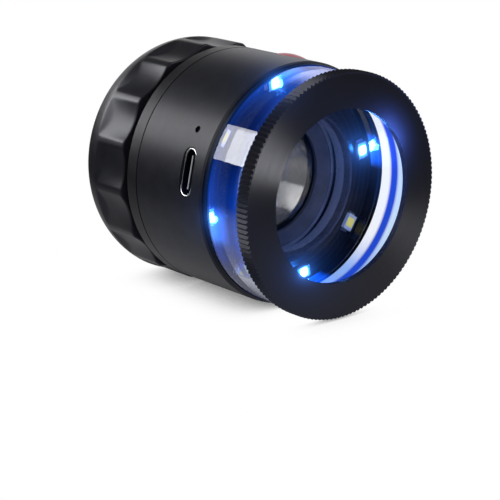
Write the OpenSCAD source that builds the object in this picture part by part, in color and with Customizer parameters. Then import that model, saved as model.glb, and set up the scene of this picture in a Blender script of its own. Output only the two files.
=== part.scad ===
// Jeweller's loupe: a short focusing magnifier with a lit, clear window behind a knurled base ring.
// It lies on its side on Z = 0, with the optical axis along Y and the base ring towards -Y.
// Each piece is drawn upright, with its distance behind the front face along its own Z,
// and lay() puts it on its side. Clock angles run from the top towards +X.

/* [Optics] */
// Outer radius of the glass
lens_r = 11.6; // [10:0.1:13]
// Width of the ground land round the polished part of each glass
glass_land = 0.5; // [0.35:0.05:1.2]
// Curve of the front face of the objective
objective_front_curve = 45; // [30:1:80]
// Curve of the cemented face inside the objective
objective_cement_curve = 28; // [24:1:60]
// Thickness of the crown glass at its rim
crown_rim = 1.8; // [1:0.1:3]
// Thickness of the flint glass at its rim
flint_rim = 4; // [3.2:0.1:6]
// Curve of the front face of the eye lens
eye_front_curve = 26; // [22:1:60]
// Curve of the rear face of the eye lens
eye_rear_curve = 40; // [30:1:80]
// Thickness of the eye lens at its rim
eye_rim = 2; // [1:0.1:3]

/* [Lens tube] */
// Wall of the lens tube round the glass
tube_wall = 2.75; // [2.4:0.05:3.5]
// How far the tube starts behind the circuit board
tube_recess = 3.15; // [2.5:0.05:5]
// Thickness of the flange that seats on the grip
tube_flange = 1; // [0.6:0.1:1.6]
// How far that flange stands out of the tube
tube_flange_proud = 2.6; // [1:0.1:3]
// Depth of the front retainer in the tube
retainer_depth = 2; // [1.6:0.1:3]
// Thickness of the retainer where it meets the glass
retainer_edge = 0.65; // [0.4:0.05:1]
// Width of the retainer's flat round the glass
retainer_flat = 0.95; // [0.5:0.05:1.2]
// Width of the retainer's front land
retainer_land = 0.2; // [0.1:0.05:0.5]
// Wall of the tube round the front retainer
retainer_wall = 0.7; // [0.5:0.05:0.9]
// Wall of the spacer between the glasses
spacer_wall = 0.45; // [0.3:0.05:0.9]
// Thickness of the seal ring that steadies the focus
seal_d = 1.34; // [1:0.02:1.6]
// How far the seal ring lies behind the front of the tube
seal_offset = 12; // [8:0.5:14]

/* [Base ring] */
// How far the knurl tips stand out past the barrel
ring_proud = 0.1; // [0:0.05:0.4]
// Width of the knurled edge
ring_width = 2.9; // [2.4:0.05:4]
// Thickness of the front lip
ring_lip = 1.2; // [0.8:0.05:1.6]
// Radius of the viewing mouth
mouth_r = 16.25; // [14:0.05:18]
// Depth of the knurl
knurl_depth = 0.4; // [0.2:0.05:0.6]
// Number of teeth in the knurl
knurl_teeth = 150; // [90:2:180]
// Bevel at both edges of the knurl
knurl_bevel = 0.2; // [0.1:0.05:0.4]

/* [Light window] */
// How far the window lies below the barrel
window_step = 0.6; // [0.4:0.05:1]
// Length of the window that shows
window_length = 9; // [7:0.1:12]
// Wall of the plug in the bezel
window_plug_wall = 1.15; // [0.8:0.05:2]
// Length of the plug in the bezel
window_plug = 1.6; // [1:0.1:2]
// Wall of the neck inside the base ring
window_neck_wall = 1.3; // [0.8:0.05:1.6]
// Bevel at the front edge
window_bevel = 0.3; // [0.1:0.05:0.6]

/* [Bezel] */
// Width of the bezel between window and barrel
bezel_width = 0.95; // [0.6:0.05:2]
// How far the front of the bezel stands above the window
bezel_proud = 0.1; // [0.05:0.05:0.3]
// Wall of the sleeve inside the barrel
bezel_wall = 0.6; // [0.4:0.05:1]

/* [Barrel] */
// Length of the barrel
barrel_length = 19.2; // [17:0.1:26]
// Wall of the barrel
barrel_wall = 2.25; // [1.8:0.05:3]
// Step down to the wall at both ends
barrel_step = 0.9; // [0.6:0.05:1.2]
// Bevel at the front edge
barrel_bevel = 0.3; // [0.1:0.05:0.6]
// Bevel on both sides of the rear seam
seam_bevel = 0.15; // [0.05:0.05:0.4]
// Room for the electronics between barrel and sleeve
bay_depth = 4.55; // [4.3:0.05:7]
// Width of the rear collar
collar_width = 2.95; // [2.4:0.05:4]
// Length of the collar's spigot inside the barrel
collar_spigot = 3; // [2:0.1:4]
// Wall of that spigot
spigot_wall = 0.8; // [0.5:0.05:0.9]
// Lip of the collar that holds the sleeve
collar_lip = 0.6; // [0.4:0.05:1]
// How far the focusing neck lies below the barrel
neck_step = 3.2; // [3:0.05:4]
// Wall of the focusing neck
neck_wall = 1.5; // [1:0.05:1.6]

/* [Inner sleeve] */
// Wall of the light-proof sleeve
sleeve_wall = 1.4; // [1.1:0.05:2]
// Shoulder that carries the circuit board
sleeve_shoulder = 0.4; // [0.2:0.05:0.7]
// How far the sleeve's nose stands out of the board
sleeve_nose = 2.45; // [1:0.05:3]
// Wall of that nose
nose_wall = 0.5; // [0.4:0.05:0.8]
// How much narrower the throat of the nose is than the lens tube
throat_step = 0.9; // [0.5:0.05:1.4]
// Room between sleeve and lens tube
sleeve_clearance = 0.4; // [0.3:0.05:0.8]

/* [Circuit board] */
// Depth of the board behind the front of the barrel
board_depth = 2.2; // [2:0.05:3]
// Thickness of the board
board_thickness = 0.8; // [0.6:0.05:1.2]
// Number of lights round the board, white and blue by turns
led_count = 8; // [4:2:12]
// Clock angle of the first blue light
led_angle = -10.5; // [-45:0.5:45]
// Distance of the lights from the rim of the board
led_inset = 3; // [2.2:0.05:3.6]
// Length of a light along the ring
led_length = 3.1; // [2.6:0.1:3.6]
// Width of a light across the ring
led_width = 2.2; // [2.1:0.1:3]
// Height of a light
led_height = 0.75; // [0.5:0.05:0.85]
// Side of the square well in a light
led_well = 1.8; // [1.2:0.1:1.8]
// Depth of that well
led_well_depth = 0.35; // [0.2:0.05:0.4]
// Length of a control chip
chip_length = 5; // [3:0.1:6]
// Height of a control chip
chip_height = 1.5; // [0.8:0.05:2]
// Length of a chip resistor
resistor_length = 2; // [1:0.05:3]
// Width of a chip resistor
resistor_width = 1.25; // [0.8:0.05:1.6]
// Height of a chip resistor
resistor_height = 0.55; // [0.4:0.05:0.8]

/* [Charging socket] */
// Clock angle of the socket
socket_angle = -77.5; // [-90:0.5:-65]
// Width of the socket's shell
socket_width = 8.94; // [8.5:0.02:9.4]
// Height of the socket's shell
socket_height = 3.16; // [2.8:0.02:3.6]
// Sheet thickness of the shell
socket_sheet = 0.3; // [0.2:0.02:0.4]
// How far the socket lies below the barrel
socket_recess = 0.4; // [0.2:0.05:0.8]
// Gap between the shell and the cut-out
socket_gap = 0.17; // [0.1:0.01:0.3]
// Thickness of the insulator's back
insert_back = 1.2; // [0.8:0.1:1.6]
// Thickness of the tongue
tongue_thickness = 0.7; // [0.5:0.05:0.9]
// Width of the tongue
tongue_width = 6.7; // [6:0.1:7.2]
// How far the tongue ends behind the mouth
tongue_recess = 0.9; // [0.5:0.05:1.4]
// Contacts on each side of the tongue
contact_count = 12; // [4:2:12]
// Distance between contacts
contact_pitch = 0.5; // [0.4:0.02:0.52]
// Width of a contact
contact_width = 0.26; // [0.15:0.01:0.34]
// Length of a contact
contact_length = 2.4; // [1.5:0.1:2.8]
// Thickness of a contact
contact_thickness = 0.06; // [0.04:0.01:0.1]

/* [Status light] */
// Clock angle of the status light
status_angle = -57.5; // [-62:0.5:-45]
// Distance of the status light behind the board
status_offset = 2.05; // [1.8:0.05:3]
// Radius of the hole in the barrel
status_r = 0.65; // [0.4:0.05:0.9]
// How far the light pipe lies below the barrel
status_recess = 0.45; // [0.2:0.05:0.8]

/* [Power button] */
// Clock angle of the button
button_angle = 18; // [0:0.5:40]
// Distance of the button behind the board
button_offset = 6.15; // [4.4:0.05:8]
// Radius of the cap
button_r = 3.4; // [3:0.05:4.2]
// Gap round the cap
button_gap = 0.15; // [0.1:0.01:0.3]
// How far the crown stands out of the barrel
button_proud = 0.5; // [0.5:0.05:1.5]
// Height of the crown above its edge
button_crown = 0.7; // [0.2:0.05:0.9]
// How far the flange stands out of the cap
button_flange = 0.7; // [0.4:0.05:1]
// Thickness of the flange
button_flange_thickness = 0.6; // [0.4:0.05:0.8]
// Travel of the button
button_travel = 0.5; // [0.3:0.05:0.6]
// Width of the switch under it
switch_width = 6; // [5:0.1:7]
// Radius of the switch's plunger
plunger_r = 1.6; // [1.2:0.05:2]
// Gap round the plunger
plunger_gap = 0.1; // [0.05:0.01:0.2]

/* [Battery] */
// Clock angle of the battery
battery_angle = 180; // [120:1:220]
// Width of the cell
battery_width = 12; // [9:0.1:12.4]
// Gap between the cell and its neighbours at both ends
battery_end_gap = 1.1; // [0.8:0.05:3]
// Height of the flat that carries the cell
battery_pad = 0.3; // [0.2:0.05:0.5]
// Width of that flat
battery_pad_width = 9.8; // [7:0.1:10.4]
// Radius of a battery lead
lead_r = 0.45; // [0.3:0.05:0.6]
// Distance between the leads
lead_spacing = 5; // [3:0.1:8]

/* [Focus grip] */
// How far the ridges stand out past the barrel
grip_proud = 0.55; // [0.4:0.05:1]
// Gap between collar and grip
focus_gap = 1.6; // [1:0.05:3]
// Length of the grip
grip_length = 12.9; // [12.2:0.1:16]
// Number of flutes
flute_count = 16; // [14:1:24]
// Clock angle of the first ridge
ridge_angle = -6.5; // [-30:0.5:30]
// Width of the land on each ridge
ridge_land = 1.2; // [0.9:0.05:2]
// Depth of the flutes at the front
flute_depth = 1.1; // [1:0.05:1.5]
// Depth of the flutes where they begin to run out
flute_rear_depth = 0.75; // [0.6:0.05:0.95]
// Length of the flutes' floor
flute_length = 6.6; // [5:0.1:7]
// Length over which the flutes run out
flute_run = 1.6; // [1:0.1:2]
// Length of the ridges before the rear rounds off
ridge_length = 7.2; // [5:0.1:8]
// How far the grip's rear edge draws in
rim_drop = 1.9; // [1:0.05:2.4]
// Depth of the threaded skirt
skirt_depth = 8.4; // [7.6:0.1:9]
// Thickness of the wall that carries the lens tube
web_thickness = 1.4; // [1:0.05:1.8]
// Wall of the eye ring outside the tube
eye_ring_proud = 3; // [2:0.1:4]
// How far the eye ring lies below the rear of the grip
eye_ring_recess = 0.2; // [0.1:0.05:0.6]
// Length of the eye ring's nose inside the tube
eye_nose = 2.8; // [2:0.1:4]
// Width of the eye ring's rear land
eye_land = 0.7; // [0.3:0.05:1.2]

/* [Clearances] */
// Gap of parts that are pressed or glued together
fit = 0.05; // [0.02:0.01:0.1]
// Radial gap of turning threads
thread_gap = 0.1; // [0.05:0.01:0.1]
// Gap between faces that stop each other
seat_gap = 0.02; // [0.01:0.01:0.1]
// Least gap that the focus leaves at its stops
stop_gap = 0.4; // [0.3:0.05:0.8]
// Gap round the seal ring
seal_gap = 0.06; // [0.03:0.01:0.1]
// Least gap round the parts in the electronics bay
bay_gap = 0.2; // [0.1:0.05:0.4]

/* [Hidden] */

$fn = 96;

// Overlap that makes each cut clean
cut = 1;

// Radii, from the glass outwards
aperture_r = lens_r - glass_land;
tube_bore_r = lens_r + fit;
tube_r = tube_bore_r + tube_wall;
sleeve_bore_r = tube_r + sleeve_clearance;
sleeve_r = sleeve_bore_r + sleeve_wall;
nose_r = sleeve_r - sleeve_shoulder;
throat_r = tube_r - throat_step;
bore_r = sleeve_r + bay_depth;
barrel_r = bore_r + barrel_wall;
step_r = bore_r + barrel_step;
bezel_sleeve_r = step_r - fit;
bezel_bore_r = bezel_sleeve_r - bezel_wall;
window_r = barrel_r - window_step;
window_plug_r = bezel_bore_r - fit;
window_bore_r = window_plug_r - window_plug_wall;
window_neck_r = window_bore_r + window_neck_wall;
ring_r = barrel_r + ring_proud;
board_r = step_r - fit;
led_ring_r = board_r - led_inset;
neck_r = barrel_r - neck_step;
neck_bore_r = neck_r - neck_wall;
skirt_bore_r = neck_r + thread_gap;
grip_r = barrel_r + grip_proud;
flute_floor_r = grip_r - flute_depth;
flute_rear_r = grip_r - flute_rear_depth;

// Distances behind the front face
window_rear = ring_width + window_length;
barrel_front = window_rear + bezel_width;
board_front = barrel_front + board_depth;
board_rear = board_front + board_thickness;
barrel_rear = barrel_front + barrel_length;
collar_rear = barrel_rear + collar_width;
grip_front = collar_rear + focus_gap;
web_front = grip_front + skirt_depth;
web_rear = web_front + web_thickness;
overall_length = grip_front + grip_length;
focus_in = focus_gap - stop_gap;
neck_rear = web_front - focus_in - stop_gap;
sleeve_rear = collar_rear - collar_lip - fit;

// Lens stack, from the front retainer to the nose of the eye ring
tube_front = board_front + tube_recess;
crown_front = tube_front + retainer_depth;
flint_front = crown_front + crown_rim;
spacer_front = flint_front + flint_rim;
eye_rear = web_rear - eye_nose;
eye_front = eye_rear - eye_rim;
throat_rear = tube_front - focus_in - stop_gap;
seal_centre = tube_front + seal_offset;
seal_r = sleeve_bore_r - seal_gap - seal_d / 2;
seal_groove_r = seal_r - seal_d / 2 - seal_gap;

// Flutes of the grip
flute_pitch = 360 / flute_count;
land_angle = ridge_land / grip_r * 180 / PI;
flute_half_angle = (flute_pitch - land_angle) / 2;
flute_half_chord = grip_r * sin(flute_half_angle);
flute_chord_r = grip_r * cos(flute_half_angle);
flute_front_curve = arc_r(flute_half_chord, flute_chord_r - flute_floor_r);
flute_rear_curve = arc_r(flute_half_chord, flute_chord_r - flute_rear_r);
rim_length = grip_length - ridge_length;
rim_arc_r = arc_r(rim_length, rim_drop);

// Height of the axis above the table: the lowest ridge or the knurl carries the loupe
lowest_ridge = ridge_angle + flute_pitch * round((180 - ridge_angle) / flute_pitch);
lowest_land = max(0, abs(180 - lowest_ridge) - land_angle / 2);
axis_height = max(ring_r, grip_r * cos(lowest_land));

// Charging socket, status light, button and battery
socket_centre = board_rear + socket_height / 2;
socket_face_r = barrel_r - socket_recess;
socket_back_r = sleeve_r + bay_gap;
socket_length = socket_face_r - socket_back_r;
status_centre = board_rear + status_offset;
button_centre = board_rear + button_offset;
button_flange_r = button_r + button_flange;
button_seat_r = sqrt(pow(bore_r, 2) - pow(button_flange_r, 2)) - bay_gap;
button_back_r = button_seat_r - button_flange_thickness;
button_top_r = barrel_r + button_proud;
switch_top_r = button_back_r - button_travel - bay_gap;
switch_back_r = sleeve_r + bay_gap;
battery_floor_r = sleeve_r + battery_pad;
battery_top_r = sqrt(pow(bore_r - bay_gap, 2) - pow(battery_width / 2, 2));
battery_front = board_rear + battery_end_gap;
battery_length = barrel_rear - battery_end_gap - battery_front;
bay_centre_r = sleeve_r + bay_depth / 2;
chip_width = bay_depth - 4 * bay_gap;

// Clock angles of the parts on the rear of the board
chip_angles = [-130, -30];
resistor_angles = [55, 65, 75, 100, 110, -105, -150];

// Radius of the arc that rises by a height over half its chord
function arc_r(half_chord, height) = (pow(half_chord, 2) + pow(height, 2)) / (2 * height);

// Lays an upright piece on its side, front towards -Y
module lay() {
    translate([0, -overall_length / 2, axis_height]) rotate([-90, 0, 0]) children();
}

// Turns what lies along +X to a clock angle
module clock(angle) {
    rotate([0, 0, angle - 90]) children();
}

// Points +Z outwards at a clock angle, a radius and a distance behind the front face
module outward(angle, radius, distance) {
    clock(angle) translate([radius, 0, distance]) rotate([0, 90, 0]) children();
}

// A turned piece from its half section of [radius, distance] points
module turned(section) {
    rotate_extrude() polygon(section);
}

// A plain ring between two distances
module ring(outer, inner, from, to) {
    turned([[inner, from], [outer, from], [outer, to], [inner, to]]);
}

// A flat outline with round ends, its width across
module stadium(width, height) {
    square([height, width - height], center = true);
    for (side = [-1, 1]) {
        translate([0, side * (width - height) / 2]) circle(d = height);
    }
}

// A rectangle with round corners
module rounded(width, height, corner) {
    square([width - 2 * corner, height], center = true);
    square([width, height - 2 * corner], center = true);
    for (x = [-1, 1], y = [-1, 1]) {
        translate([x * (width / 2 - corner), y * (height / 2 - corner)]) circle(r = corner);
    }
}

// A polished cap that bulges towards +Z from the plane Z = 0
module cap(curve) {
    depth = sqrt(pow(curve, 2) - pow(aperture_r, 2));
    intersection() {
        translate([0, 0, -depth]) sphere(r = curve);
        cylinder(r = aperture_r, h = curve);
    }
}

module barrel_shell() {
    color("#2b2b2f") lay() difference() {
        turned([
            [step_r, barrel_front],
            [barrel_r - barrel_bevel, barrel_front],
            [barrel_r, barrel_front + barrel_bevel],
            [barrel_r, barrel_rear - seam_bevel],
            [barrel_r - seam_bevel, barrel_rear],
            [step_r, barrel_rear],
            [step_r, barrel_rear - collar_spigot],
            [bore_r, barrel_rear - collar_spigot],
            [bore_r, board_rear],
            [step_r, board_rear]
        ]);
        outward(socket_angle, bore_r - cut, socket_centre)
            linear_extrude(barrel_wall + 2 * cut)
                stadium(socket_width + 2 * socket_gap, socket_height + 2 * socket_gap);
        outward(status_angle, bore_r - cut, status_centre) cylinder(r = status_r, h = barrel_wall + 2 * cut);
        outward(button_angle, bore_r - cut, button_centre)
            cylinder(r = button_r + button_gap, h = barrel_wall + 2 * cut);
    }
}

module rear_collar() {
    spigot_r = step_r - fit;
    spigot_front = barrel_rear - collar_spigot + fit;
    seat_r = sleeve_r + fit;
    lip_r = sleeve_bore_r + fit;
    color("#323236") lay() turned([
        [seat_r, barrel_rear],
        [spigot_r - spigot_wall, barrel_rear],
        [spigot_r - spigot_wall, spigot_front],
        [spigot_r, spigot_front],
        [spigot_r, barrel_rear],
        [barrel_r - seam_bevel, barrel_rear],
        [barrel_r, barrel_rear + seam_bevel],
        [barrel_r, collar_rear - seam_bevel],
        [barrel_r - seam_bevel, collar_rear],
        [neck_r, collar_rear],
        [neck_r, neck_rear - seam_bevel],
        [neck_r - seam_bevel, neck_rear],
        [neck_bore_r, neck_rear],
        [neck_bore_r, collar_rear],
        [lip_r, collar_rear],
        [lip_r, collar_rear - collar_lip],
        [seat_r, collar_rear - collar_lip]
    ]);
}

module inner_sleeve() {
    nose_front = board_front - sleeve_nose;
    pad_root_r = sleeve_bore_r + sleeve_wall / 4;
    color("#1a1a1d") lay() {
        turned([
            [throat_r, nose_front],
            [throat_r + nose_wall, nose_front],
            [throat_r + nose_wall, board_front],
            [nose_r, board_front],
            [nose_r, board_rear],
            [sleeve_r, board_rear],
            [sleeve_r, sleeve_rear],
            [sleeve_bore_r, sleeve_rear],
            [sleeve_bore_r, throat_rear],
            [throat_r, throat_rear]
        ]);
        clock(battery_angle)
            translate([pad_root_r, -battery_pad_width / 2, battery_front])
                cube([battery_floor_r - pad_root_r, battery_pad_width, battery_length]);
    }
}

module window_bezel() {
    color("#0d0d0f") lay() turned([
        [bezel_bore_r, window_rear],
        [window_r + bezel_proud, window_rear],
        [barrel_r - barrel_bevel, barrel_front],
        [bezel_sleeve_r, barrel_front],
        [bezel_sleeve_r, board_front],
        [bezel_bore_r, board_front]
    ]);
}

module light_window() {
    neck_front = ring_lip + seat_gap;
    shoulder = ring_width + seat_gap;
    plug_rear = window_rear + window_plug;
    color("#7fa8ff", 0.5) lay() turned([
        [window_bore_r, neck_front],
        [window_neck_r, neck_front],
        [window_neck_r, shoulder],
        [window_r - window_bevel, shoulder],
        [window_r, shoulder + window_bevel],
        [window_r, window_rear],
        [window_plug_r, window_rear],
        [window_plug_r, plug_rear],
        [window_bore_r, plug_rear]
    ]);
}

// Straight knurl as a toothed outline
module knurl() {
    polygon([
        for (i = [0 : 2 * knurl_teeth - 1])
            let (radius = ring_r - (i % 2) * knurl_depth, angle = 180 * i / knurl_teeth)
                [radius * cos(angle), radius * sin(angle)]
    ]);
}

module base_ring() {
    color("#26262a") lay() difference() {
        intersection() {
            linear_extrude(ring_width) knurl();
            turned([
                [0, 0],
                [ring_r - knurl_bevel, 0],
                [ring_r, knurl_bevel],
                [ring_r, ring_width - knurl_bevel],
                [ring_r - knurl_bevel, ring_width],
                [0, ring_width]
            ]);
        }
        translate([0, 0, -cut]) cylinder(r = mouth_r, h = ring_width + 2 * cut);
        translate([0, 0, ring_lip]) cylinder(r = window_neck_r + thread_gap, h = ring_width);
    }
}

module circuit_board() {
    color("#16201c") lay() ring(board_r, nose_r + fit, board_front, board_rear);
}

// Places its children on the front of the board, at every second light
module at_leds(first) {
    for (i = [first : 2 : led_count - 1]) {
        clock(led_angle + i * 360 / led_count) translate([led_ring_r, 0, board_front]) children();
    }
}

// One light's case, with its well open to the front
module led_case() {
    translate([0, 0, -led_height]) difference() {
        translate([-led_width / 2, -led_length / 2, 0]) cube([led_width, led_length, led_height]);
        translate([-led_well / 2, -led_well / 2, -cut]) cube([led_well, led_well, led_well_depth + cut]);
    }
}

// What fills the well
module led_fill() {
    translate([-led_well / 2, -led_well / 2, -led_height]) cube([led_well, led_well, led_well_depth]);
}

module white_led_cases() {
    color("#e8e8e4") lay() at_leds(1) led_case();
}

module white_led_phosphors() {
    color("#e6d760") lay() at_leds(1) led_fill();
}

module blue_led_cases() {
    color("#e8e8e4") lay() at_leds(0) led_case();
}

module blue_led_emitters() {
    color("#8fc4ff") lay() at_leds(0) led_fill();
}

module usb_shell() {
    color("#c9ccd0") lay() outward(socket_angle, socket_back_r, socket_centre)
        linear_extrude(socket_length) difference() {
            stadium(socket_width, socket_height);
            stadium(socket_width - 2 * socket_sheet, socket_height - 2 * socket_sheet);
        }
}

module usb_insert() {
    color("#111113") lay() outward(socket_angle, socket_back_r, socket_centre) {
        linear_extrude(insert_back)
            stadium(socket_width - 2 * socket_sheet, socket_height - 2 * socket_sheet);
        linear_extrude(socket_length - tongue_recess)
            square([tongue_thickness, tongue_width], center = true);
    }
}

module usb_contacts() {
    contact_end = socket_length - tongue_recess - contact_width;
    color("#d9b45a") lay() outward(socket_angle, socket_back_r, socket_centre)
        for (i = [0 : contact_count - 1], side = [-1, 1]) {
            translate([
                side * (tongue_thickness + contact_thickness) / 2,
                (i - (contact_count - 1) / 2) * contact_pitch,
                contact_end - contact_length / 2
            ]) cube([contact_thickness, contact_width, contact_length], center = true);
        }
}

module status_led() {
    half = 2 * status_r;
    top_r = sqrt(pow(bore_r, 2) - pow(half, 2)) - bay_gap;
    color("#e8e8e4") lay() clock(status_angle)
        translate([top_r - half, -half, board_rear])
            cube([half, 2 * half, status_offset + status_r]);
}

module status_light_pipe() {
    color("#3a3a40") lay() outward(status_angle, bore_r, status_centre)
        cylinder(r = status_r - fit, h = barrel_wall - status_recess);
}

module power_button() {
    crown_r = arc_r(button_r, button_crown);
    color("#d01820") lay() outward(button_angle, button_back_r, button_centre) {
        cylinder(r = button_flange_r, h = button_flange_thickness);
        intersection() {
            cylinder(r = button_r, h = button_top_r - button_back_r);
            translate([0, 0, button_top_r - button_back_r - crown_r]) sphere(r = crown_r);
        }
    }
}

module switch_plunger() {
    color("#e0e0dc") lay() outward(button_angle, switch_top_r - button_travel, button_centre)
        cylinder(r = plunger_r, h = button_back_r - switch_top_r + button_travel);
}

module switch_case() {
    case_end = button_centre + switch_width / 2 - board_rear;
    well_r = switch_top_r - 2 * button_travel - bay_gap;
    color("#202024") lay() difference() {
        clock(button_angle) translate([switch_back_r, -switch_width / 2, board_rear])
            cube([switch_top_r - switch_back_r, switch_width, case_end]);
        outward(button_angle, well_r, button_centre)
            cylinder(r = plunger_r + plunger_gap, h = switch_top_r - well_r + cut);
    }
}

module battery_cell() {
    thickness = battery_top_r - battery_floor_r;
    corner = thickness / 4;
    color("#b8bcc4") lay() clock(battery_angle)
        translate([battery_floor_r + thickness / 2, 0, battery_front])
            linear_extrude(battery_length) rounded(thickness, battery_width, corner);
}

module battery_leads() {
    color("#b02020") lay() clock(battery_angle) for (side = [-1, 1]) {
        translate([(battery_floor_r + battery_top_r) / 2, side * lead_spacing / 2, board_rear])
            cylinder(r = lead_r, h = battery_end_gap);
    }
}

// Places its children on the rear of the board, in the middle of the bay
module behind_board(angles) {
    for (angle = angles) {
        clock(angle) translate([bay_centre_r, 0, board_rear]) children();
    }
}

module control_chips() {
    color("#1c1c1f") lay() behind_board(chip_angles)
        translate([-chip_width / 2, -chip_length / 2, 0]) cube([chip_width, chip_length, chip_height]);
}

module chip_resistors() {
    color("#3b3a38") lay() behind_board(resistor_angles)
        translate([-resistor_width / 2, -resistor_length / 2, 0])
            cube([resistor_width, resistor_length, resistor_height]);
}

module focus_o_ring() {
    color("#18181a") lay() translate([0, 0, seal_centre])
        rotate_extrude() translate([seal_r, 0]) circle(d = seal_d, $fn = 48);
}

// Half section of the grip before its flutes are cut
module grip_section() {
    translate([skirt_bore_r, grip_front]) square([grip_r - skirt_bore_r, ridge_length]);
    intersection() {
        translate([grip_r - rim_arc_r, grip_front + ridge_length]) circle(r = rim_arc_r, $fn = 256);
        translate([tube_r + fit, grip_front + ridge_length]) square([grip_r, rim_length]);
    }
}

// One flute: a leaning cone, deep and round at the front, shallow and flatter at the rear
module flute() {
    flare = (flute_rear_curve - flute_front_curve) / flute_length;
    lean = flare + (flute_rear_r - flute_floor_r) / flute_length;
    reach = flute_length + flute_run + 2 * cut;
    multmatrix([
        [1, 0, lean, flute_floor_r + flute_front_curve],
        [0, 1, 0, 0],
        [0, 0, 1, grip_front]
    ]) translate([0, 0, -cut])
        cylinder(
            r1 = flute_front_curve - flare * cut,
            r2 = flute_front_curve + flare * reach,
            h = reach + cut
        );
}

// Where the flutes may cut: their floor ends in a gentle slope
module flute_zone() {
    floor_end = grip_front + flute_length;
    slope = flute_run / flute_rear_depth;
    turned([
        [flute_floor_r - cut, grip_front - cut],
        [grip_r + cut, grip_front - cut],
        [grip_r + cut, floor_end + flute_run + slope * cut],
        [flute_rear_r, floor_end],
        [flute_floor_r - cut, floor_end]
    ]);
}

module focus_grip() {
    color("#232327") lay() difference() {
        rotate_extrude() grip_section();
        for (i = [0 : flute_count - 1]) {
            clock(ridge_angle + (i + 0.5) * flute_pitch) intersection() {
                flute();
                clock(90) flute_zone();
            }
        }
        translate([0, 0, grip_front - cut]) cylinder(r = skirt_bore_r, h = skirt_depth + cut);
        translate([0, 0, web_rear]) cylinder(r = tube_r + eye_ring_proud + fit, h = grip_length);
    }
}

module lens_tube() {
    seal_half = seal_d / 2 + seal_gap;
    flange_r = tube_r + tube_flange_proud;
    color("#1d1d20") lay() turned([
        [tube_r - retainer_wall, tube_front],
        [tube_r, tube_front],
        [tube_r, seal_centre - seal_half],
        [seal_groove_r, seal_centre - seal_half],
        [seal_groove_r, seal_centre + seal_half],
        [tube_r, seal_centre + seal_half],
        [tube_r, web_front - tube_flange],
        [flange_r, web_front - tube_flange],
        [flange_r, web_front],
        [tube_r, web_front],
        [tube_r, web_rear],
        [tube_bore_r, web_rear],
        [tube_bore_r, crown_front],
        [tube_r - retainer_wall, crown_front]
    ]);
}

module lens_retainer() {
    outer = tube_r - retainer_wall - fit;
    opening = aperture_r + fit;
    color("#202024") lay() turned([
        [outer - retainer_land, tube_front],
        [outer, tube_front],
        [outer, crown_front],
        [opening, crown_front],
        [opening, crown_front - retainer_edge],
        [opening + retainer_flat, crown_front - retainer_edge]
    ]);
}

module objective_crown() {
    color("#cfd8e4", 0.4) lay() {
        translate([0, 0, crown_front]) {
            cylinder(r = lens_r, h = crown_rim);
            mirror([0, 0, 1]) cap(objective_front_curve);
        }
        translate([0, 0, flint_front]) cap(objective_cement_curve);
    }
}

module objective_flint() {
    color("#c4d0e0", 0.4) lay() difference() {
        translate([0, 0, flint_front]) cylinder(r = lens_r, h = flint_rim);
        translate([0, 0, flint_front]) cap(objective_cement_curve);
    }
}

module lens_spacer() {
    color("#161618") lay() ring(lens_r, lens_r - spacer_wall, spacer_front, eye_front);
}

module eye_lens() {
    color("#cfd8e4", 0.4) lay() {
        translate([0, 0, eye_front]) {
            cylinder(r = lens_r, h = eye_rim);
            mirror([0, 0, 1]) cap(eye_front_curve);
        }
        translate([0, 0, eye_rear]) cap(eye_rear_curve);
    }
}

module eye_ring() {
    opening = aperture_r + fit;
    outer = tube_r + eye_ring_proud;
    rear = overall_length - eye_ring_recess;
    color("#1d1d20") lay() turned([
        [opening, eye_rear],
        [lens_r, eye_rear],
        [lens_r, web_rear],
        [outer, web_rear],
        [outer, rear],
        [outer - eye_land, rear],
        [opening, web_rear]
    ]);
}

barrel_shell();
rear_collar();
inner_sleeve();
window_bezel();
light_window();
base_ring();
circuit_board();
white_led_cases();
white_led_phosphors();
blue_led_cases();
blue_led_emitters();
usb_shell();
usb_insert();
usb_contacts();
status_led();
status_light_pipe();
power_button();
switch_plunger();
switch_case();
battery_cell();
battery_leads();
control_chips();
chip_resistors();
focus_o_ring();
focus_grip();
lens_tube();
lens_retainer();
objective_crown();
objective_flint();
lens_spacer();
eye_lens();
eye_ring();
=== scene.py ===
"""Looks of the jeweller's loupe: materials, fine details, light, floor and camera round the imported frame."""

import math
from collections import namedtuple

import bmesh
import bpy
from mathutils import Matrix, Vector


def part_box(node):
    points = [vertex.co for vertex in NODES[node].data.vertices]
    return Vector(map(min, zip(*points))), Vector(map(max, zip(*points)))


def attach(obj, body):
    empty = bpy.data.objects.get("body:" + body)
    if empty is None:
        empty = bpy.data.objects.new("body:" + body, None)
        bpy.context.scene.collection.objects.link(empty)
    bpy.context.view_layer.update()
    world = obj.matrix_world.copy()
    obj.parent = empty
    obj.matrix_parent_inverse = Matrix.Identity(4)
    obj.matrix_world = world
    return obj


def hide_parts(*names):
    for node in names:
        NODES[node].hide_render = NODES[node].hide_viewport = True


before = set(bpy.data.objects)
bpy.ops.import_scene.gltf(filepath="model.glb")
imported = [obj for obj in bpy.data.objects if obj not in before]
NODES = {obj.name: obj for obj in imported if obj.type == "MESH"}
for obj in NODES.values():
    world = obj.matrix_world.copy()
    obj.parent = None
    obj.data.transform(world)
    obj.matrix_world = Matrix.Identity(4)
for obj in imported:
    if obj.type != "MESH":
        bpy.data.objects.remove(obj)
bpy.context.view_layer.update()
SCENE = bpy.context.scene

# Places that the details and the materials share, in metres
MM = 0.001
AXIS_Z = sum(corner.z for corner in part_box("barrel_shell")) / 2
FRONT_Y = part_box("base_ring")[0].y

# From here on sizes are in millimetres and degrees, and distances count from the front face, unless stated

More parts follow.
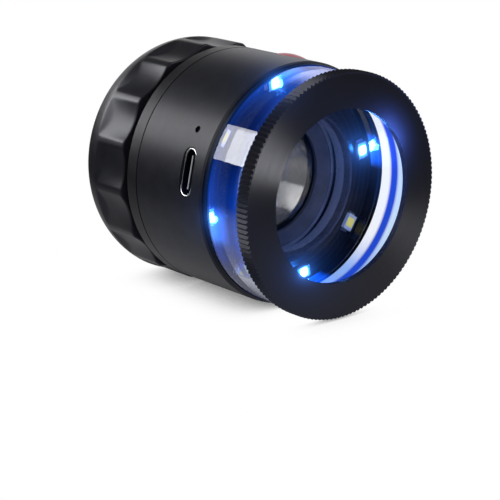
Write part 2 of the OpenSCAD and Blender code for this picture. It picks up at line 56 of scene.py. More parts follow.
# Lights on the board: clock angles, the lit ones a quarter turn apart, and sizes
LIT_ANGLES = (-10.5, 79.5, 169.5, -100.5)
UNLIT_ANGLES = (34.5, 124.5, -145.5, -55.5)
LED_RADIUS = 18.6
LED_FRONT = 14.3
BOARD_FRONT = 15.05
LED_END = 1.55
TERMINAL_HALF = 0.85
FILLET = ((-0.1, 0.0), (-0.1, 0.38), (0.04, 0.36), (0.10, 0.22), (0.24, 0.12), (0.50, 0.06), (0.54, 0.0))
CHIP_CORE = (0.5, 1.1)

# Focus grip: front and rear faces, radius over the ridges, flutes, rim, bores
GRIP_FRONT = 36.6
GRIP_REAR = 49.5
GRIP_RADIUS = 23.55
GRIP_EDGE = 0.3
RIDGE_END = 43.8
RIM_CURVE = 9.5
RIM_EDGE = 0.8
FLUTES = 16
COLUMNS_PER_FLUTE = 40
FIRST_RIDGE = -6.5
LAND = 1.2
FLUTE_DEPTHS = (1.1, 0.75)
FLUTE_FLOOR = 6.6
FLUTE_RUN = 1.6
FLUTE_SOFTNESS = (0.12, 0.09)
SKIN_SOFTNESS = 0.03
SKIRT_BORE = 19.9
WEB = (45.0, 46.4)
TUBE_RADIUS = 14.45
EYE_RECESS = 17.45

# Collar: the seam before it, with its dark ring of painted shadow, the hatch on its band and the thread on its
# neck
SEAM = 32.05
SEAM_HALF = 0.16
SEAM_RADIUS = 23.015
SEAM_DEPTH = 0.3
SEAM_EDGE = 0.06
HATCH_RADIUS = 23
HATCH_PITCH = 0.42
HATCH_DEPTH = 0.006
NECK_EDGE = (20.0, 20.3)
THREAD_PITCH = 0.75
THREAD_RELIEF = 0.9

# Base ring: where the knurl's tips start, where its face ends, and how its turned grooves lean
KNURL_TIPS = (22.85, 23.08)
RING_FACE = 22.6
GROOVE_LEAN = -0.45

# Eye ring
EYE_OPENING = 11.15
EYE_NOSE = (43.6, 11.6)
EYE_OUTER = 17.4
EYE_REAR = 49.3
EYE_EDGE = 0.15
EYE_LAND = 0.7
EYE_LAND_EDGE = (0.12, 0.1)
EYE_STEPS = 8
EYE_STEP_EDGE = ((0.12, 0.14), (0.04, 0.12), (0.0, 0.05))

# Charging socket: its clock angle, centre, shell, and the plate in its tongue, and where painted shade leaves
# the lip and the tongue's tip bright
SOCKET_CLOCK = -77.5
SOCKET_CENTRE = 17.43
SOCKET_SIZE = (8.94, 3.16)
SOCKET_SHEET = 0.3
SOCKET_RADII = (16.4, 22.6)
BRIGHT_LIP = (22.52, 22.585)
TONGUE_TIP = 22.1
TONGUE_STUB = 0.5
TONGUE_HALF = (3.1, 0.11)
TONGUE_BRIGHT = 0.12

# Light window and bezel, where their painted glow and tints fall: radii between bore and outside, distances,
# and clock angles off the top
WINDOW_WALL = (20.4, 21.2)
WINDOW_EDGE = (3.0, 3.35)
WINDOW_FRONT = (5.9, 6.3)
WINDOW_LINE = ((5.5, 6.3), (7.6, 8.5))
WINDOW_MIDDLE = 7.0
WINDOW_END = (11.2, 11.8)
WINDOW_UNDER = (122.0, 152.0)
WINDOW_LOW = (104.0, 126.0)
BEZEL_GLOW = (11.9, 12.7)
BEZEL_SIDE = (98.0, 118.0)

# Sleeve round the lens, where painted light makes its throat paler, and the radius past which glass has black
# edges
THROAT_FRONT = (14.2, 14.5)
THROAT_RADIUS = (13.6, 13.9)
GLASS_EDGE = 11.3

# Colours that several parts share: anodising, and the tint of the black parts' gloss
ANODISED = ((0.008, 0.0083, 0.012), (0.012, 0.0125, 0.018))
COOL = (0.92, 0.93, 1.0)

# Glow of the lit lights: colours, watts and sizes of the points of light, and where they are
LED_BLUE = (0.03, 0.24, 1.0)
LED_POWER = 0.0022
LED_GLOW_SIZE = 0.6
LED_GLOW_AHEAD = 1.2
WINDOW_GLOWS = 8
WINDOW_POWER = 0.0006
WINDOW_GLOW_SIZE = 1.5
WINDOW_GLOW_RADIUS = 18.0
THROAT_BLUE = (0.33, 0.46, 1.0)
THROAT_POWER = 0.022
THROAT_GLOW_SIZE = 3.0
THROAT_GLOW_PLACE = (4.0, 8.0, 115.0)
FLARE_BLUE = (0.12, 0.26, 1.0)
FLARE_POWER = 0.0095
FLARE_SIZE = 0.5
FLARE_PLACES = ((-3.0, 15.4, 43.0), (-3.0, 15.4, 56.0))

# Studio: radiance of strips and cards, the strips' distance off the axis and their size in metres, and what
# gloss and matt surfaces see of the room
STRIP = 7.4
STRIP_RIGHT = 0.4
STRIP_AHEAD = 4.0
STRIP_DISTANCE = 459
STRIP_SIZE = (1.0, 0.294)
REAR_CARD = 5.0
FRONT_CARD = 64.0
ROOM_GLOSS = 0.02
OVERHEAD_GLOSS = 0.4
BACKDROP = (0.643, 0.766)
BACKDROP_GLOSS = 0.8
FILL_LOW = 0.15
FILL_HIGH = 0.9

# Floor, in metres: how far it goes, how near things must be to paint shade on it, and where the lit table ends
# for gloss.
# Each shade has the way that it faces, its strength and its power
FLOOR_HALF = 3.0
FLOOR_SHADE_REACH = 0.009
FLOOR_SHADES = (((0.0, 0.0, 1.0), 0.9, 5.0), ((0.0, 0.8, 0.6), 0.6, 4.0))
TABLE_EDGE = (0.04, 0.11)
TABLE_GLOSS = 0.5

# Camera, in metres, and the bloom round bright light
CAMERA_PLACE = (-0.2130, -0.25185, 0.1056)
CAMERA_FORWARD = (0.61683, 0.73403, -0.28412)
CAMERA_SENSOR = 36.0
CAMERA_LENS = 127.49
CAMERA_CLIP = (0.01, 20.0)
BLOOM = {"Threshold": 1.3, "Strength": 0.36, "Size": 0.14}

Polar = namedtuple("Polar", "radius clock distance sine cosine")


def place(distance, radius, clock):
    """World point from a distance behind the front face, a radius off the axis and a clock angle."""
    angle = math.radians(clock)
    return Vector((
        radius * math.sin(angle) * MM,
        FRONT_Y + distance * MM,
        AXIS_Z + radius * math.cos(angle) * MM,
    ))


def on_side(clock, distance, across, radius):
    """World point beside the radius at a clock angle, that many millimetres across from it."""
    angle = math.radians(clock)
    return place(distance, radius, clock) + Vector((math.cos(angle), 0, -math.sin(angle))) * across * MM


class Graph:
    """Short calls for building one material's node tree. Lengths in it are millimetres."""

    def __init__(self, name=None, tree=None):
        self.tree = tree
        self._cylinder = None
        if name:
            self.material = bpy.data.materials.new(name)
            self.material.use_nodes = True
            self.tree = self.material.node_tree
            self.bsdf = self.tree.nodes["Principled BSDF"]

    def node(self, kind, **settings):
        made = self.tree.nodes.new(kind)
        for key, value in settings.items():
            setattr(made, key, value)
        return made

    def feed(self, socket, value):
        """Links a socket to another node's output, or sets it where the value is a constant."""
        if isinstance(value, bpy.types.NodeSocket):
            self.tree.links.new(value, socket)
        else:
            socket.default_value = value

    def set(self, **values):
        """Sets the shader's sockets by name, with underscores for spaces."""
        for key, value in values.items():
            if isinstance(value, tuple) and len(value) == 3:
                value = (*value, 1.0)
            self.feed(self.bsdf.inputs[key.replace("_", " ")], value)
        return self

    def math(self, operation, *values, clamp=False):
        made = self.node("ShaderNodeMath", operation=operation, use_clamp=clamp)
        for socket, value in zip(made.inputs, values):
            self.feed(socket, value)
        return made.outputs[0]

    def product(self, first, *others):
        """Multiplies the values in turn."""
        for other in others:
            first = self.math("MULTIPLY", first, other)
        return first

    def spread(self, value, low, high, to_low=0.0, to_high=1.0):
        """Maps low..high softly on to to_low..to_high, held at both ends."""
        made = self.node("ShaderNodeMapRange", interpolation_type="SMOOTHSTEP")
        for socket, given in zip(made.inputs, (value, low, high, to_low, to_high)):
            self.feed(socket, given)
        return made.outputs[0]

    def vector(self, x, y, z):
        made = self.node("ShaderNodeCombineXYZ")
        for socket, value in zip(made.inputs, (x, y, z)):
            self.feed(socket, value)
        return made.outputs[0]

    def length(self, vector):
        made = self.node("ShaderNodeVectorMath", operation="LENGTH")
        self.feed(made.inputs[0], vector)
        return made.outputs["Value"]

    def object_mm(self):
        """Object coordinates in millimetres, which are the frame's own."""
        made = self.node("ShaderNodeVectorMath", operation="SCALE")
        self.feed(made.inputs[0], self.node("ShaderNodeTexCoord").outputs["Object"])
        made.inputs["Scale"].default_value = 1 / MM
        return made.outputs[0]

    def cylinder(self):
        """Radius, clock angle, distance behind the front face, and the angle's sine and cosine."""
        if self._cylinder is None:
            split = self.node("ShaderNodeSeparateXYZ")
            self.feed(split.inputs[0], self.object_mm())
            x = split.outputs[0]
            z = self.math("SUBTRACT", split.outputs[2], AXIS_Z / MM)
            squares = self.math("ADD", self.product(x, x), self.product(z, z))
            angle = self.math("ARCTAN2", x, z)
            self._cylinder = Polar(
                self.math("SQRT", squares),
                self.math("MULTIPLY", angle, 180 / math.pi),
                self.math("SUBTRACT", split.outputs[1], FRONT_Y / MM),
                self.math("SINE", angle),
                self.math("COSINE", angle),
            )
        return self._cylinder

    def noise(self, vector, scale, detail=2.0, roughness=0.5):
        made = self.node("ShaderNodeTexNoise")
        self.feed(made.inputs["Vector"], vector)
        made.inputs["Scale"].default_value = scale
        made.inputs["Detail"].default_value = detail
        made.inputs["Roughness"].default_value = roughness
        return made.outputs[0]

    def turned_lines(self, per_mm, on_face=False):
        """Noise drawn out round the axis, as a lathe leaves it, on the side or on a flat face."""
        where = self.cylinder()
        across = self.product(where.radius if on_face else where.distance, per_mm)
        return self.noise(self.vector(across, where.sine, where.cosine), 1.0, 3.0, 0.7)

    def mix(self, factor, first, second):
        made = self.node("ShaderNodeMix", data_type="RGBA")
        self.feed(made.inputs[0], factor)
        for socket, colour in ((made.inputs[6], first), (made.inputs[7], second)):
            self.feed(socket, (*colour, 1.0) if isinstance(colour, tuple) else colour)
        return made.outputs[2]

    def paint(self, mask, colour):
        """Puts a colour over the one there is already, where the mask is 1."""
        under = self.bsdf.inputs["Base Color"].links[0].from_socket
        return self.set(Base_Color=self.mix(mask, under, colour))

    def bump(self, height, strength, depth_mm):
        """Adds relief of that depth under what relief there is already."""
        made = self.node("ShaderNodeBump")
        made.inputs["Strength"].default_value = strength
        made.inputs["Distance"].default_value = depth_mm * MM
        self.feed(made.inputs["Height"], height)
        before = self.bsdf.inputs["Normal"].links
        if before:
            self.feed(made.inputs["Normal"], before[0].from_socket)
        self.feed(self.bsdf.inputs["Normal"], made.outputs[0])
        return self

    def background(self, strength):
        made = self.node("ShaderNodeBackground")
        self.feed(made.inputs["Strength"], strength)
        return made.outputs[0]

    def blend(self, factor, first, second):
        made = self.node("ShaderNodeMixShader")
        for socket, value in zip(made.inputs, (factor, first, second)):
            self.feed(socket, value)
        return made.outputs[0]

    def mirrored_ray(self):
        """1 for a ray mirrored by gloss or within the thin window, 0 for one that went through glass."""
        ray = self.node("ShaderNodeLightPath").outputs
        last = self.math("SUBTRACT", ray["Is Glossy Ray"], ray["Is Transmission Ray"], clamp=True)
        mirrored = self.math("GREATER_THAN", ray["Glossy Depth"], 0.5)
        within = self.product(mirrored, self.math("LESS_THAN", ray["Transmission Depth"], 4.5))
        return self.math("MAXIMUM", last, within)


# Kinds of material
def anodised(name, dark, light, roughness, lines_per_mm, line_depth, grain_depth=0.006, **shader):
    """Satin black anodising: cloudy colour, fine blasted grain and faint lathe lines."""
    graph = Graph(name)
    where = graph.object_mm()
    clouds = graph.noise(where, 0.35, 3.0)
    grain = graph.noise(where, 9.0, 2.0, 0.6)
    lines = graph.turned_lines(lines_per_mm)
    graph.set(
        Base_Color=graph.mix(graph.spread(clouds, 0.3, 0.7), dark, light),
        Roughness=graph.spread(grain, 0.3, 0.7, roughness - 0.05, roughness + 0.06),
        **shader,
    )
    return graph.bump(grain, 0.5, grain_depth).bump(lines, 0.5, line_depth)


def metal(name, colour, roughness, scale=6.0):
    """Bare metal with fine random scratches in its gloss."""
    graph = Graph(name)
    where = graph.object_mm()
    return graph.set(
        Base_Color=graph.mix(graph.noise(where, 1.2), tuple(0.85 * c for c in colour), colour),
        Metallic=1.0,
        Roughness=graph.spread(graph.noise(where, scale, 4.0), 0.3, 0.7, roughness * 0.7, roughness * 1.4),
    )


def moulded(name, colour, roughness, grain=14.0, depth=0.004, **shader):
    """Moulded plastic with a fine spark texture."""
    graph = Graph(name)
    where = graph.object_mm()
    texture = graph.noise(where, grain, 2.0)
    graph.set(
        Base_Color=graph.mix(graph.noise(where, 0.8), tuple(0.82 * c for c in colour), colour),
        Roughness=graph.spread(texture, 0.3, 0.7, roughness - 0.06, roughness + 0.06),
        **shader,
    )
    return graph.bump(texture, 0.4, depth)


def glass(name, ior):
    """Polished glass with a little dust on it."""
    graph = Graph(name)
    dust = graph.noise(graph.object_mm(), 1.5, 4.0)
    return graph.set(
        Base_Color=(0.99, 0.99, 1.0),
        Roughness=graph.spread(dust, 0.6, 0.9, 0.0, 0.012),
        IOR=ior,
        Transmission_Weight=1.0,
    )


# Materials of single parts
def collar_material():
    """Turned collar with a fine cross hatch, and a screw thread on the neck that the grip runs on."""
    graph = anodised(
        "turned_collar", (0.010, 0.010, 0.012), (0.016, 0.016, 0.019), 0.36, 14.0, 0.002,
        Specular_IOR_Level=0.2, Specular_Tint=COOL,
    )
    where = graph.cylinder()
    around = graph.product(where.clock, math.pi / 180 * HATCH_RADIUS)
    for lean in (-1, 1):
        slant = graph.math("MULTIPLY_ADD", around, lean, where.distance)
        graph.bump(graph.math("SINE", graph.product(slant, 2 * math.pi / HATCH_PITCH)), 0.6, HATCH_DEPTH)
    thread = graph.math("MULTIPLY_ADD", where.clock, THREAD_PITCH / 360, where.distance)
    thread = graph.math("PINGPONG", thread, THREAD_PITCH / 2)
    neck = graph.spread(where.radius, *NECK_EDGE, 1.0, 0.0)
    return graph.bump(graph.product(thread, neck), 1.0, THREAD_RELIEF)


def ring_material():
    """The base ring: lathe-turned face that drags its highlight out, and knurl tips of plain black."""
    graph = Graph("turned_ring")
    radius = graph.cylinder().radius
    lines = graph.turned_lines(7.0, on_face=True)
    colour = graph.mix(lines, (0.013, 0.013, 0.019), (0.019, 0.019, 0.026))
    graph.set(
        Base_Color=graph.mix(graph.spread(radius, *KNURL_TIPS), colour, (0.013, 0.013, 0.017)),
        Roughness=graph.spread(lines, 0.3, 0.7, 0.36, 0.44),
        Specular_IOR_Level=0.16,
        Specular_Tint=COOL,
        Anisotropic=0.95,
        Anisotropic_Rotation=0.25,
        Tangent=graph.node("ShaderNodeTangent", direction_type="RADIAL", axis="Y").outputs[0],
    )
    graph.bump(lines, 0.35, 0.003)
    # The lathe left the face's grooves leaning outward
    lean = graph.product(graph.math("MINIMUM", radius, RING_FACE), GROOVE_LEAN)
    return graph.bump(lean, 1.0, 1.0)


def bezel_material():
    """Gloss black bezel with a painted blue glow beside the window, though none underneath."""
    graph = moulded("gloss_bezel", (0.002, 0.003, 0.006), 0.34, 4.0, 0.002, Specular_IOR_Level=0.05)
    where = graph.cylinder()
    # Painted blue glow on the bezel beside the window, none underneath
    glow = graph.product(
        graph.spread(where.distance, *BEZEL_GLOW, 0.05, 0.0),
        graph.spread(graph.math("ABSOLUTE", where.clock), *BEZEL_SIDE, 1.0, 0.0),
    )
    return graph.set(Emission_Color=(0.04, 0.22, 1.0), Emission_Strength=glow)


def steel_material():
    """Steel of the socket, with painted shade darkening it inside, so that it is bright only on its lip."""
    graph = metal("socket_steel", (0.72, 0.73, 0.75), 0.24)
    # Painted shade: dark all over but the crest of the lip
    painted_shade = graph.spread(graph.cylinder().radius, *BRIGHT_LIP, 0.97, 0.0)
    return graph.paint(painted_shade, (0.02, 0.02, 0.022))


def tongue_material():
    """Steel plate in the socket's tongue, bright only at its tip, with painted shade over the rest."""
    graph = moulded("tongue_plate", (0.62, 0.63, 0.66), 0.4, 9.0, 0.002)
    where = graph.cylinder()
    turn = math.radians(SOCKET_CLOCK)
    outward = graph.math(
        "ADD", graph.product(where.sine, math.sin(turn)), graph.product(where.cosine, math.cos(turn))
    )
    height = graph.product(where.radius, outward)
    # Painted shade: dark all over but the tip
    painted_shade = graph.spread(height, TONGUE_TIP - TONGUE_BRIGHT, TONGUE_TIP, 1.0, 0.0)
    return graph.paint(painted_shade, (0.012, 0.012, 0.013))


def window_material():
    """Clear acrylic tube with the blue of the lit lights painted on it as glow and tint, and a deep painted
    line of it round its bore.
    """
    graph = Graph("lit_acrylic")
    where = graph.cylinder()
    off_top = graph.math("ABSOLUTE", where.clock)
    quarter = graph.product(graph.math("SUBTRACT", where.clock, LIT_ANGLES[0]), 4 * math.pi / 180)
    near_lit = graph.math("MULTIPLY_ADD", graph.math("COSINE", quarter), 0.5, 0.5)
    bore = graph.spread(where.radius, *WINDOW_WALL, 1.0, 0.0)
    line_start, line_end = WINDOW_LINE
    # Painted light as tints of the bore: pale blue in front, deeper underneath, where less of the room comes
    # in, and the line
    front = graph.spread(where.distance, *WINDOW_FRONT, 1.0, 0.0)
    under = graph.spread(off_top, *WINDOW_UNDER)
    line = graph.product(
        graph.spread(where.distance, *line_start), graph.spread(where.distance, *line_end, 1.0, 0.0)
    )
    painted_light_tint = (0.93, 0.96, 1.0)
    for mask, colour in (
        (front, (0.36, 0.60, 0.98)), (under, (0.09, 0.24, 0.85)), (line, (0.0003, 0.006, 0.42)),
    ):
        painted_light_tint = graph.mix(graph.product(mask, bore), painted_light_tint, colour)
    # Painted blue glow: deep between the lights, paler beside each lit one and along the front edge
    across = graph.math("ABSOLUTE", graph.math("SUBTRACT", where.distance, WINDOW_MIDDLE))
    deep = graph.product(
        graph.spread(near_lit, 0.0, 0.8, 0.14, 0.36),
        graph.spread(across, 0.8, 4.4, 0.45, 1.0),
        graph.spread(off_top, *WINDOW_LOW, 1.0, 0.3),
    )
    halo = graph.product(
        graph.spread(near_lit, 0.86, 1.0), graph.spread(where.distance, 5.0, 11.0, 0.10, 1.0)
    )
    edge = graph.spread(where.distance, *WINDOW_EDGE, 0.5, 0.0)
    pale = graph.math("ADD", graph.product(halo, 0.40), graph.product(edge, near_lit))
    outside = graph.product(
        graph.math("SUBTRACT", 1.0, bore), graph.spread(where.distance, *WINDOW_END, 1.0, 0.0)
    )
    paleness = graph.math("MULTIPLY", graph.product(pale, 1.6), outside, clamp=True)
    beside = graph.product(
        graph.spread(near_lit, 0.86, 1.0), graph.spread(where.distance, 7.0, 11.0), bore, 0.9
    )
    # Fine scratches, and a hazy patch where each light shines in
    haze = graph.spread(graph.noise(graph.object_mm(), 2.5, 4.0), 0.45, 0.75, 0.015, 0.05)
    return graph.set(
        Base_Color=painted_light_tint,
        Roughness=graph.math("MULTIPLY_ADD", graph.spread(near_lit, 0.93, 1.0), 0.10, haze),
        IOR=1.45,
        Transmission_Weight=1.0,
        Emission_Color=graph.mix(paleness, (0.002, 0.105, 1.0), (0.15, 0.45, 1.0)),
        Emission_Strength=graph.math("MULTIPLY_ADD", graph.math("ADD", deep, pale), outside, beside),
    )


def board_material():
    """Black solder mask with ring tracks under it."""
    graph = Graph("solder_mask")
    waves = graph.math("SINE", graph.product(graph.cylinder().radius, 5.2))
    tracks = graph.spread(waves, 0.72, 0.9)
    speckle = graph.noise(graph.object_mm(), 6.0, 3.0)
    graph.set(
        Base_Color=graph.mix(tracks, (0.008, 0.010, 0.014), (0.016, 0.020, 0.028)),
        Roughness=graph.spread(speckle, 0.3, 0.7, 0.26, 0.4),
        Specular_IOR_Level=0.25,
    )
    return graph.bump(tracks, 0.6, 0.03)


def sleeve_material():
    """Black sleeve, with painted light making it paler in the throat on the way in to the lens."""
    graph = anodised("inner_sleeve_black", (0.008, 0.009, 0.013), (0.012, 0.014, 0.020), 0.26, 5.0, 0.003)
    where = graph.cylinder()
    # Painted light: the throat is paler, as if lit
    throat = graph.product(
        graph.spread(where.distance, *THROAT_FRONT), graph.spread(where.radius, *THROAT_RADIUS, 1.0, 0.0)
    )
    return graph.paint(throat, (0.05, 0.055, 0.07))


def emitter_material():
    """Resin over a lit blue chip, hottest in the middle of each light."""
    graph = Graph("lit_emitter")
    where = graph.cylinder()
    glow = graph.spread(graph.noise(graph.object_mm(), 3.0), 0.3, 0.7, 80.0, 100.0)
    turn = graph.math("PINGPONG", graph.math("SUBTRACT", where.clock, LIT_ANGLES[0]), 45.0)
    along = graph.product(turn, math.pi / 180 * LED_RADIUS)
    across = graph.math("SUBTRACT", where.radius, LED_RADIUS)
    core = graph.spread(graph.length(graph.vector(along, across, 0.0)), *CHIP_CORE, 1.0, 0.03)
    # A mirror in the window shows the chip white-hot: its glow is painted four times as strong in mirrored
    # rays
    hot = graph.math("MULTIPLY_ADD", graph.mirrored_ray(), 3.0, 1.0)
    return graph.set(
        Base_Color=(0.5, 0.7, 1.0),
        Roughness=0.2,
        Emission_Color=(0.07, 0.26, 1.0),
        Emission_Strength=graph.product(glow, core, hot),
    )


def dress(graph, *names):
    """Gives CAD nodes a material."""
    for name in names:
        mesh = NODES[name].data
        mesh.materials.clear()
        mesh.materials.append(graph.material)
        mesh.polygons.foreach_set("material_index", [0] * len(mesh.polygons))


def dress_glass(graph, paint, *names):
    """Gives lenses their glass, and paint on their edges."""
    dress(graph, *names)
    for name in names:
        mesh = NODES[name].data
        mesh.materials.append(paint.material)
        for face in mesh.polygons:
            radius = math.hypot(face.center.x, face.center.z - AXIS_Z)
            if radius > GLASS_EDGE * MM and abs(face.normal.y) < 0.5:
                face.material_index = 1


# Pieces
def add_piece(name, vertices, faces, graph, body, sharp=40):
    """A mesh piece that rides on a body, smooth but for edges sharper than the angle."""
    mesh = bpy.data.meshes.new(name)
    mesh.from_pydata(vertices, [], faces)
    shape = bmesh.new()
    shape.from_mesh(mesh)
    bmesh.ops.recalc_face_normals(shape, faces=shape.faces)
    shape.to_mesh(mesh)
    shape.free()
    mesh.shade_smooth()
    mesh.set_sharp_from_angle(angle=math.radians(sharp))
    mesh.materials.append(graph.material)
    piece = bpy.data.objects.new(name, mesh)
    SCENE.collection.objects.link(piece)
    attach(piece, body)
    return piece


def loop_faces(rows, columns):
    """Quads between rows of points, closed both ways like a ring."""
    return [
        (
            row * columns + column,
            row * columns + (column + 1) % columns,
            (row + 1) % rows * columns + (column + 1) % columns,
            (row + 1) % rows * columns + column,
        )
        for row in range(rows)
        for column in range(columns)
    ]


def prism_faces(count, start=0):
    """Sides and ends of a prism whose two outlines follow each other, with that many points each."""
    sides = [
        (start + k, start + (k + 1) % count, start + count + (k + 1) % count, start + count + k)
        for k in range(count)
    ]
    return sides + [tuple(range(start, start + count)), tuple(range(start + count, start + 2 * count))]


def arc(centre_radius, centre_distance, curve, start, end, steps):
    """Section points on an arc: 0 degrees points away from the axis, 90 to the rear."""
    angles = (math.radians(start + (end - start) * step / steps) for step in range(steps + 1))
    return [(centre_radius + curve * math.cos(a), centre_distance + curve * math.sin(a)) for a in angles]


def turned_piece(name, outline, columns, graph, body, sharp=40):
    """A piece turned round the axis from an outline of radii and distances."""
    points = [place(s, r, 360 * column / columns) for r, s in outline for column in range(columns)]
    return add_piece(name, points, loop_faces(len(outline), columns), graph, body, sharp)


def smooth_min(a, b, width):
    return (a + b - math.hypot(a - b, width)) / 2


def grip_surface(profile, distance, clock):
    """Radius of the grip where its turned profile is cut by soft-edged flutes that run out to the rear."""
    pitch = 360 / FLUTES
    half = (pitch - math.degrees(LAND / GRIP_RADIUS)) / 2
    across = ((clock - FIRST_RIDGE) % pitch - pitch / 2) / half
    front, rear = FLUTE_DEPTHS
    floor = front + (rear - front) * (distance - GRIP_FRONT) / FLUTE_FLOOR
    hollow = floor * (1 - across * across)
    run = rear * (GRIP_FRONT + FLUTE_FLOOR + FLUTE_RUN - distance) / FLUTE_RUN
    end_softness, side_softness = FLUTE_SOFTNESS
    depth = -smooth_min(-smooth_min(hollow, run, end_softness), 0.0, side_softness)
    return min(profile, smooth_min(profile, GRIP_RADIUS - depth, SKIN_SOFTNESS) + SKIN_SOFTNESS / 2)


def make_grip(graph):
    """Focus grip with softly rounded ridges, front edge and rear rim."""
    columns = FLUTES * COLUMNS_PER_FLUTE
    clocks = [360 * column / columns for column in range(columns)]
    front_steps, straight_steps, rim_steps, rear_steps = 5, 24, 22, 8
    rim_centre = GRIP_RADIUS - RIM_CURVE
    rear_centre = GRIP_REAR - RIM_EDGE
    lift = math.asin((rear_centre - RIDGE_END) / (RIM_CURVE - RIM_EDGE))
    rear_radius = rim_centre + (RIM_CURVE - RIM_EDGE) * math.cos(lift)
    start = GRIP_FRONT + GRIP_EDGE
    straight = RIDGE_END - GRIP_FRONT - GRIP_EDGE
    outside = [(GRIP_RADIUS, start + straight * k / straight_steps) for k in range(straight_steps)]
    outside += arc(rim_centre, RIDGE_END, RIM_CURVE, 0, math.degrees(lift), rim_steps)
    outside += arc(rear_radius, rear_centre, RIM_EDGE, math.degrees(lift), 90, rear_steps)[1:]
    inside = arc(EYE_RECESS + GRIP_EDGE, GRIP_REAR - GRIP_EDGE, GRIP_EDGE, 90, 180, front_steps)
    inside += [(EYE_RECESS, WEB[1]), (TUBE_RADIUS, WEB[1]), (TUBE_RADIUS, WEB[0]), (SKIRT_BORE, WEB[0])]
    inside += [(SKIRT_BORE, GRIP_FRONT + GRIP_EDGE), (SKIRT_BORE + GRIP_EDGE, GRIP_FRONT)]
    rows = []
    for step in range(front_steps):
        turn = math.radians(90 * step / front_steps)
        distance = GRIP_FRONT + GRIP_EDGE * (1 - math.cos(turn))
        inset = GRIP_EDGE * (1 - math.sin(turn))
        rows.append([place(distance, grip_surface(GRIP_RADIUS, distance, c) - inset, c) for c in clocks])
    rows += [[place(s, grip_surface(r, s, c), c) for c in clocks] for r, s in outside]
    rows += [[place(s, r, c) for c in clocks] for r, s in inside]
    points = [point for row in rows for point in row]
    faces = loop_faces(len(rows), columns)
    piece = add_piece("fluted_grip", points, faces, graph, "eyepiece")
    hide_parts("focus_grip")


def make_seam():
    """Dark ring put in the seam between the barrel and the collar as painted shadow."""
    front, rear, foot = SEAM - SEAM_HALF, SEAM + SEAM_HALF, SEAM_RADIUS - SEAM_DEPTH
    outline = arc(SEAM_RADIUS - SEAM_EDGE, front + SEAM_EDGE, SEAM_EDGE, -90, 0, 3)
    outline += arc(SEAM_RADIUS - SEAM_EDGE, rear - SEAM_EDGE, SEAM_EDGE, 0, 90, 3)
    outline += [(foot, rear), (foot, front)]
    seam_shadow = moulded("seam_painted_shadow", (0.002, 0.002, 0.003), 0.6, Specular_IOR_Level=0.03)
    turned_piece("seam_ring", outline, 256, seam_shadow, "barrel")


def make_socket_shell(graph):
    """Drawn steel shell of the socket, its lip rolled round."""
    width, height = SOCKET_SIZE
    back, face = SOCKET_RADII
    lip = SOCKET_SHEET / 2
    lip_steps, columns = 8, 96
    rows = [(0.0, back), (0.0, face - lip)]
    for step in range(1, lip_steps + 1):
        turn = math.pi * step / lip_steps
        rows.append((lip - lip * math.cos(turn), face - lip + lip * math.sin(turn)))
    rows.append((SOCKET_SHEET, back))
    points = []
    for inset, radius in rows:
        corner = height / 2 - inset
        for column in range(columns):
            angle = 2 * math.pi * (column + 0.5) / columns
            distance = SOCKET_CENTRE + corner * math.cos(angle)
            straight = math.copysign((width - height) / 2, math.sin(angle))
            points.append(on_side(SOCKET_CLOCK, distance, straight + corner * math.sin(angle), radius))
    faces = loop_faces(len(rows), columns)
    piece = add_piece("socket_shell", points, faces, graph, "barrel")
    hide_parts("usb_shell")


def make_tongue_plate():
    """Steel plate in the socket's tongue, its rounded edge showing at the tip."""
    half_width, half_thick = TONGUE_HALF
    foot = TONGUE_TIP - TONGUE_STUB
    edge_steps = 8
    turns = [math.pi * step / edge_steps for step in range(edge_steps + 1)]
    section = [(-half_thick, foot)]
    section += [(-half_thick * math.cos(a), TONGUE_TIP + half_thick * math.sin(a)) for a in turns]
    section += [(half_thick, foot)]
    points = [
        on_side(SOCKET_CLOCK, SOCKET_CENTRE + axial, side, radius)
        for side in (-half_width, half_width) for axial, radius in section
    ]
    add_piece("tongue_plate", points, prism_faces(len(section)), tongue_material(), "barrel")


def make_eye_ring(graph):
    """Eye ring with stepped grooves down its dish, which keep stray light out of the eye."""
    web = WEB[1]
    land = EYE_OUTER - EYE_LAND
    nose, nose_radius = EYE_NOSE
    outline = [(EYE_OPENING, nose), (nose_radius, nose), (nose_radius, web), (EYE_OUTER, web)]
    outline += arc(EYE_OUTER - EYE_EDGE, EYE_REAR - EYE_EDGE, EYE_EDGE, 0, 90, 4)
    outline += [(land + EYE_LAND_EDGE[0], EYE_REAR), (land, EYE_REAR - EYE_LAND_EDGE[1])]
    for step in range(EYE_STEPS):
        low = (step + 1) / EYE_STEPS
        inner = land + (EYE_OPENING - land) * low
        level = EYE_REAR + (web - EYE_REAR) * low
        outline += [(inner + outward, level + rearward) for outward, rearward in EYE_STEP_EDGE]
    piece = turned_piece("stepped_eye_ring", outline, 192, graph, "eyepiece", 30)
    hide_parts("eye_ring")


def make_terminals():
    """Solder fillets at both ends of every light."""
    points, faces = [], []
    for clock in LIT_ANGLES + UNLIT_ANGLES:
        for end in (-1, 1):
            faces += prism_faces(len(FILLET), len(points))
            points += [
                on_side(clock, BOARD_FRONT - height, end * (LED_END + along), LED_RADIUS + side)
                for side in (-TERMINAL_HALF, TERMINAL_HALF) for along, height in FILLET
            ]
    solder = metal("solder", (0.78, 0.79, 0.80), 0.3, 9.0)
    add_piece("led_terminals", points, faces, solder, "barrel", 45)


